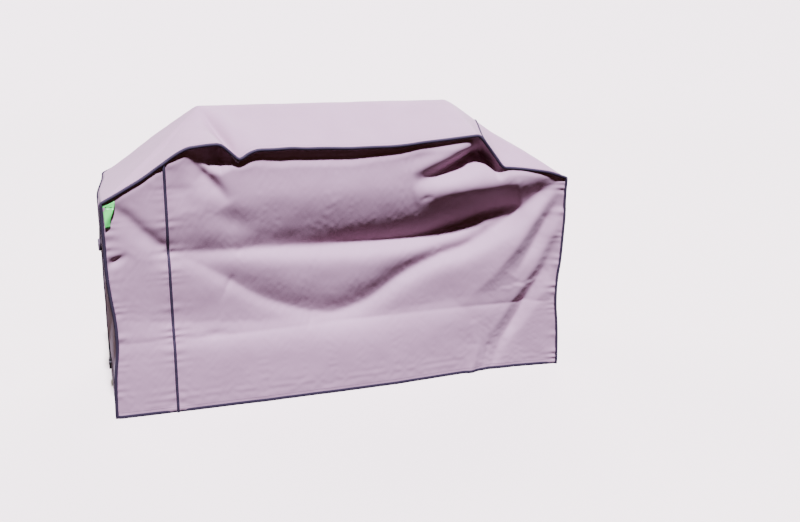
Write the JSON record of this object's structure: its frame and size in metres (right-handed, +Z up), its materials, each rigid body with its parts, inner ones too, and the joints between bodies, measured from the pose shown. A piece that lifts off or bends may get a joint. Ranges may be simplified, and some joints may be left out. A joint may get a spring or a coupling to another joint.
{
  "type": "grill cover",
  "caption": "Large fitted fabric cover for a cart grill: straight skirt, sloped shoulders, raised crown, piped seams, bound hem, end handles, cinch straps and vent flaps.",
  "frame": {"origin": "on the ground, under the middle of the cover", "axes": "+X along the cover towards its right end as seen from the front, +Y from the front panel to the back, +Z up"},
  "size_m": [2.065, 0.708, 1.236],
  "materials": {
    "cover_cloth": "matte woven polyester, coated",
    "trim_cloth": "matte woven polyester tape",
    "webbing": "matte ribbed webbing",
    "buckle_plastic": "matte moulded acetal",
    "vent_mesh": "matte open mesh",
    "tag_ribbon": "satin woven ribbon"
  },
  "bodies": {
    "cover": {"front_main_panel": "cover_cloth", "front_left_panel": "cover_cloth", "back_main_panel": "cover_cloth", "back_end_panel": "cover_cloth", "left_side_panel": "cover_cloth", "right_side_panel": "cover_cloth", "top_main_panel": "cover_cloth", "top_right_panel": "cover_cloth", "front_outline_piping": "trim_cloth", "back_outline_piping": "trim_cloth", "front_seam_piping": "trim_cloth", "back_seam_piping": "trim_cloth", "top_seam_piping": "trim_cloth", "hem_binding": "trim_cloth", "left_handle_patch": "trim_cloth", "right_handle_patch": "trim_cloth", "left_handle_ends": "webbing", "right_handle_ends": "webbing", "left_strap_front": "webbing", "right_strap_front": "webbing", "left_strap_rear": "webbing", "right_strap_rear": "webbing", "left_buckle_socket": "buckle_plastic", "right_buckle_socket": "buckle_plastic", "left_vent_mesh": "vent_mesh", "right_vent_mesh": "vent_mesh", "vent_flap_headers": "trim_cloth"},
    "left_handle": {"left_handle_webbing": "webbing", "left_handle_grip": "trim_cloth"},
    "left_plug": {"left_buckle_plug": "buckle_plastic", "left_strap_tail": "webbing"},
    "left_vent": {"left_vent_flap": "cover_cloth"},
    "right_handle": {"right_handle_webbing": "webbing", "right_handle_grip": "trim_cloth"},
    "right_plug": {"right_buckle_plug": "buckle_plastic", "right_strap_tail": "webbing"},
    "right_vent": {"right_vent_flap": "cover_cloth"},
    "tag": {"corner_tag": "tag_ribbon"}
  },
  "joints": [
    {"name": "left_handle_swing", "type": "hinge", "parent": "cover", "child": "left_handle", "pos_m": [-1.01805, 0, 0.745], "axis": [0, 1, 0], "range_deg": [0, 110]},
    {"name": "left_vent_lift", "type": "hinge", "parent": "cover", "child": "left_vent", "pos_m": [-0.48, 0.3513, 1.04], "axis": [1, 0, 0], "range_deg": [0, 100]},
    {"name": "left_buckle_release", "type": "slide", "parent": "cover", "child": "left_plug", "axis": [0, 1, 0], "range_m": [0, 0.035]},
    {"name": "right_handle_swing", "type": "hinge", "parent": "cover", "child": "right_handle", "pos_m": [1.01805, 0, 0.745], "axis": [0, -1, 0], "range_deg": [0, 110]},
    {"name": "right_vent_lift", "type": "hinge", "parent": "cover", "child": "right_vent", "pos_m": [0.48, 0.3513, 1.04], "axis": [1, 0, 0], "range_deg": [0, 100]},
    {"name": "right_buckle_release", "type": "slide", "parent": "cover", "child": "right_plug", "axis": [0, 1, 0], "range_m": [0, 0.035]},
    {"name": "tag_lift", "type": "hinge", "parent": "cover", "child": "tag", "pos_m": [-0.994, -0.3515, 0.884], "axis": [-1, 0, 0], "range_deg": [0, 80]}
  ]
}
